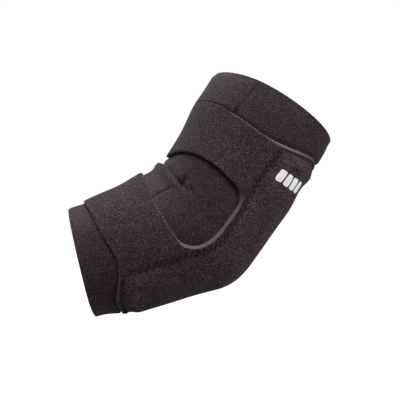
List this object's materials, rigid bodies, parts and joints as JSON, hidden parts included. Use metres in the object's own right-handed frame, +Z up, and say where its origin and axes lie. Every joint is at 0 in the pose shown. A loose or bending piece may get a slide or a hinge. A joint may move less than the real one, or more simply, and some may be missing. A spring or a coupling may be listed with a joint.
{
  "type": "padded elbow support sleeve",
  "caption": "Pull-on neoprene elbow support sleeve with a padded back panel and two wrap straps that close on hook-and-loop tabs.",
  "frame": {"origin": "Middle of the footprint, on the level surface that the forearm's padded back rests on.", "axes": "+Z up. The arm lies in the XZ plane: the forearm opening points to -X and the upper arm opening up and to +X, with the crook of the elbow facing up and to -X. +Y is the medial side, where the straps close."},
  "size_m": [0.2011, 0.0988, 0.1616],
  "materials": {
    "sleeve_fabric": "brushed charcoal knit bonded to 3 mm neoprene foam",
    "overlay_fabric": "brushed charcoal knit bonded to 2.5 mm neoprene foam, raw cut grey-brown foam edges",
    "pad_foam": "closed-cell foam, matt",
    "thread": "black polyester sewing thread",
    "loop_fabric": "napped loop fabric",
    "hook_tape": "moulded nylon hook tape",
    "tab_fabric": "laminated knit tab"
  },
  "bodies": {
    "upper_arm": {"upper_sleeve_front": "sleeve_fabric", "upper_sleeve_back": "sleeve_fabric", "elbow_sleeve_front": "sleeve_fabric", "elbow_sleeve_back": "sleeve_fabric", "lateral_seam": "thread", "medial_seam": "thread", "foam_pad": "pad_foam", "back_panel": "overlay_fabric", "panel_stitching": "thread", "upper_strap": "overlay_fabric", "upper_loop_patch": "loop_fabric"},
    "forearm": {"forearm_sleeve_front": "sleeve_fabric", "forearm_sleeve_back": "sleeve_fabric", "lower_strap": "overlay_fabric", "lower_loop_patch": "loop_fabric"},
    "upper_tab": {"upper_strap_tab": "tab_fabric", "upper_hook_patch": "hook_tape", "upper_tab_stitching": "thread"},
    "lower_tab": {"lower_strap_tab": "tab_fabric", "lower_hook_patch": "hook_tape", "lower_tab_stitching": "thread"}
  },
  "joints": [
    {"name": "elbow_flexion", "type": "hinge", "parent": "upper_arm", "child": "forearm", "pos_m": [-0.0128, 0, 0.0519], "axis": [0, 1, 0], "range_deg": [-37.9, 45], "deforming": ["elbow_sleeve_front", "elbow_sleeve_back", "lateral_seam", "medial_seam", "foam_pad", "back_panel", "panel_stitching", "upper_strap", "lower_strap"]},
    {"name": "upper_strap_peel", "type": "hinge", "parent": "upper_arm", "child": "upper_tab", "pos_m": [0.01653, 0.04211, 0.11966], "axis": [0.7217, 0.0094, 0.6921], "range_deg": [0, 110]},
    {"name": "lower_strap_peel", "type": "hinge", "parent": "forearm", "child": "lower_tab", "pos_m": [-0.06928, 0.03907, 0.07149], "axis": [0.9832, 0.0566, 0.1733], "range_deg": [0, 110]}
  ]
}
